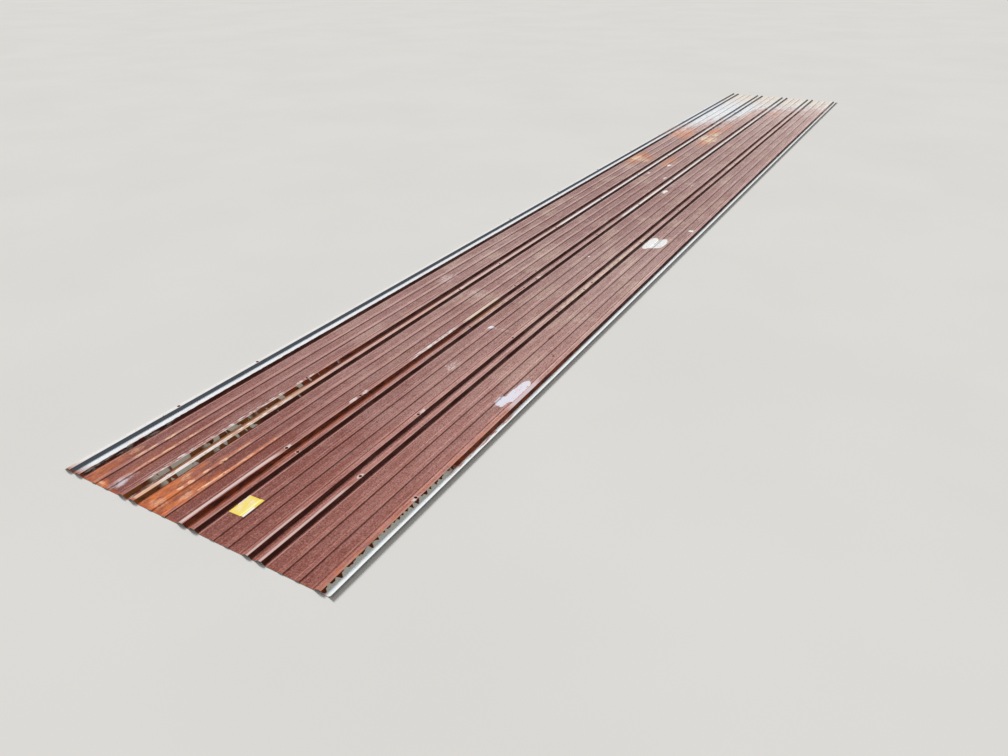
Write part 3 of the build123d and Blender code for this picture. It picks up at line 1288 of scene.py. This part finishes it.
    def marks(self, brush: Brush) -> None:
        """Add the pale scuffs, the white smears and the small dark specks.

        Args:
            brush: What it is painted with.
        """
        bench, cover = brush.bench, brush.layers.cover
        scratched = brush.flecks((3.5, 12, 4), 0.42, 0.60)
        cover(Tone.PALE_MAUVE, brush.spots(self.pale_spots), scratched, 0.9, roughness=0.7)
        smear = bench.mix(bench.span(brush.lie.along, 1400, 2200), Tone.LILAC, Tone.WHITE)
        cover(smear, brush.spots(self.smears), brush.flecks((5, 18, 4), 0.30, 0.42), roughness=0.5)
        cover(Tone.DARK_RUST, brush.spots(self.specks), roughness=0.9)

    def nails(self, brush: Brush) -> None:
        """Ring the nail holes with dark rust and torn, pale coat.

        Args:
            brush: What it is painted with.
        """
        bench, cover, section = brush.bench, brush.layers.cover, self.section
        torn_spots = tuple(
            Spot(MM * (section.crest_centre(crest) - section.first_pan), MM * along, 8, half, 1.0, 0.4, 0.8)
            for crest, along, half in self.torn_crests
        )
        cover(Tone.PALE_MAUVE, brush.spots(torn_spots), brush.flecks((5, 14, 4), 0.34, 0.48))
        halo = bench.add("ShaderNodeAttribute", attribute_name="halo").outputs["Fac"]
        torn = bench.math("ADD", halo, brush.sway(1.1, 5, 8))
        cover(Tone.PALE_PINK, bench.span(torn, 0.46, 0.62), 0.8)
        cover(Tone.DARK_RUST, bench.span(halo, 0.64, 0.72), roughness=0.9)


@dataclass(frozen=True)
class DullZinc:
    """Finish of the underside and of the cut edges: old zinc with dark and rusty stains."""

    effects: Effects
    zinc: Colour = srgb(150, 154, 154)
    pale: Colour = srgb(182, 184, 180)
    stain: Colour = srgb(120, 92, 72)
    roughness: float = 0.5
    metal: float = 0.45

    def build(self) -> Material:
        """Make the material.

        Returns:
            The material.
        """
        material, bench = start_material("dull_zinc")
        tree, place = self.effects.drawn_noise(), bench.place()
        spangle = bench.group(tree, Place=place, Size=(0.009, 0.012, 0.009), Detail=2.0)
        stains = bench.group(tree, Place=place, Size=(0.03, 0.5, 0.03), Detail=4.0)
        zinc = bench.mix(bench.span(spangle, 0.38, 0.62), self.zinc, self.pale)
        layers = Layers(bench, zinc, self.roughness)
        layers.cover(self.stain, bench.span(stains, 0.55, 0.75), 0.6, roughness=0.75)
        bench.shade({"Base Color": layers.colour, "Roughness": layers.roughness, "Metallic": self.metal})
        return material


@dataclass(frozen=True)
class LabelPaper:
    """Finish of the label: bright yellow paper with faded streaks and a short white strip at each side."""

    effects: Effects
    yellow: Colour = srgb(226, 198, 26)
    faded: Colour = srgb(228, 212, 158)
    strip: Colour = srgb(232, 228, 222)
    roughness: float = 0.6
    specular: float = 0.3
    strip_start: float = 0.86

    def build(self) -> Material:
        """Make the material.

        Returns:
            The material.
        """
        material, bench = start_material("label_paper")
        tree, sheet = self.effects.drawn_noise(), bench.add("ShaderNodeUVMap", uv_map="label").outputs[0]
        across, along = list(bench.add("ShaderNodeSeparateXYZ", sheet).outputs)[:2]
        streak = bench.group(tree, Place=sheet, Size=(0.05, 0.5, 1.0), Detail=3.0)
        cloud = bench.group(tree, Place=sheet, Size=(0.35, 0.35, 1.0), Detail=3.0)
        inside = bench.times(bench.band(across, 0.10, self.strip_start, 0.10),
                             bench.band(along, 0.16, 0.86, 0.14))
        layers = Layers(bench, self.yellow, self.roughness)
        layers.cover(self.faded, inside, bench.span(streak, 0.40, 0.62), bench.span(cloud, 0.30, 0.55))
        right = bench.times(bench.span(across, self.strip_start, self.strip_start + 0.02),
                            bench.span(along, 0.52, 0.60, 1, 0))
        left = bench.times(bench.span(across, 0.05, 0.07, 1, 0), bench.span(along, 0.38, 0.44))
        layers.cover(self.strip, bench.most(left, right))
        bench.shade({
            "Base Color": layers.colour, "Roughness": self.roughness, "Specular IOR Level": self.specular,
        })
        return material


@dataclass(frozen=True)
class FloorPaint:
    """Finish of the studio's plain pale floor."""

    effects: Effects
    pale: Colour = srgb(216, 214, 210)
    paler: Colour = srgb(219, 217, 213)

    def build(self) -> Material:
        """Make the material.

        Returns:
            The material.
        """
        material, bench = start_material("floor_paint")
        cloud = bench.group(self.effects.drawn_noise(), Place=bench.place(), Size=(1.2, 1.2, 1.2), Detail=3.0)
        colour = bench.mix(bench.span(cloud, 0.3, 0.7), self.pale, self.paler)
        bench.shade({"Base Color": colour, "Roughness": 1.0, "Specular IOR Level": 0.0})
        return material


@dataclass(frozen=True)
class Studio:
    """Plain pale floor, soft light from the back left, and the camera at the photograph's place."""

    effects: Effects
    floor_size: float = 60.0
    floor_drop: float = 0.0004
    fill: float = 0.36
    seen_sky: float = 0.8
    key: float = 4.8
    key_spread: float = math.radians(14)
    towards_key: tuple[float, float, float] = (-0.80, 0.35, 0.42)
    eye: tuple[float, float, float] = (1.4993, -4.5592, 1.3388)
    turn_left: float = 0.5202
    look_down: float = 0.5249
    roll: float = -0.0024
    lens: float = 26.786
    sensor: float = 36.0
    sight: float = 100.0

    def build(self) -> None:
        """Lay the floor and set the lights and the camera."""
        self.lay_floor()
        self.light()
        self.set_camera()

    def lay_floor(self) -> None:
        """Lay the floor, just under the pans."""
        model = bmesh.new()
        bmesh.ops.create_grid(model, x_segments=1, y_segments=1, size=self.floor_size / 2)
        bmesh.ops.translate(model, verts=model.verts[:], vec=(0, 0, -self.floor_drop))
        floor = place_mesh("floor", model, [FloorPaint(self.effects).build()])

    def light(self) -> None:
        """Light the scene with one wide lamp and an even sky, which shows paler than it shines."""
        lamp = bpy.data.lights.new("key", "SUN")
        lamp.energy = self.key
        lamp.angle = self.key_spread
        key = bpy.data.objects.new("key", lamp)
        key.rotation_euler = Vector(self.towards_key).to_track_quat("Z", "Y").to_euler()
        bpy.context.scene.collection.objects.link(key)
        world = bpy.data.worlds.new("sky")
        bpy.context.scene.world = world
        world.use_nodes = True
        bench = NodeBench(world.node_tree)
        path = bench.add("ShaderNodeLightPath").outputs
        seen = bench.most(path["Is Camera Ray"], path["Is Glossy Ray"], path["Is Transmission Ray"])
        sky = {"Color": (1, 1, 1, 1), "Strength": bench.blend(seen, self.fill, self.seen_sky)}
        bench.fill(world.node_tree.nodes["Background"], sky)

    def set_camera(self) -> None:
        """Stand the camera where the photograph was taken."""
        view = bpy.data.cameras.new("camera")
        view.lens = self.lens
        view.sensor_width = self.sensor
        view.clip_end = self.sight
        camera = bpy.data.objects.new("camera", view)
        facing = Euler((math.pi / 2 - self.look_down, 0, self.turn_left)).to_matrix()
        turned = facing @ Matrix.Rotation(self.roll, 3, "Z")
        camera.matrix_world = Matrix.Translation(self.eye) @ turned.to_4x4()
        bpy.context.scene.collection.objects.link(camera)
        bpy.context.scene.camera = camera


def main() -> None:
    """Build the scene in order and report each piece."""
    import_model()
    low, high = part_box(SHEET_NODE)
    lean = Section.steel * math.sin(math.atan2(Section.rise, Section.slope))
    section = Section(length=high.y - low.y, left_edge=low.x + lean)
    effects = Effects()
    coat = WeatheredCoat(section, effects)
    finishes = (coat.build_pans(), coat.build_ribs(), DullZinc(effects).build())
    sheet = RibbedSheet(section, NailHoles(section)).build(*finishes)
    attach(sheet, BODY)
    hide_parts(SHEET_NODE)
    log.info("sheet: %d faces", len(sheet.data.polygons))
    label = Label(section).build(sheet, LabelPaper(effects).build())
    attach(label, BODY)
    log.info("label: %d faces", len(label.data.polygons))
    Studio(effects).build()
    bpy.context.scene.view_settings.view_transform = "Standard"


if __name__ == "__main__":
    logging.basicConfig(level=logging.INFO, format="%(message)s")
    main()
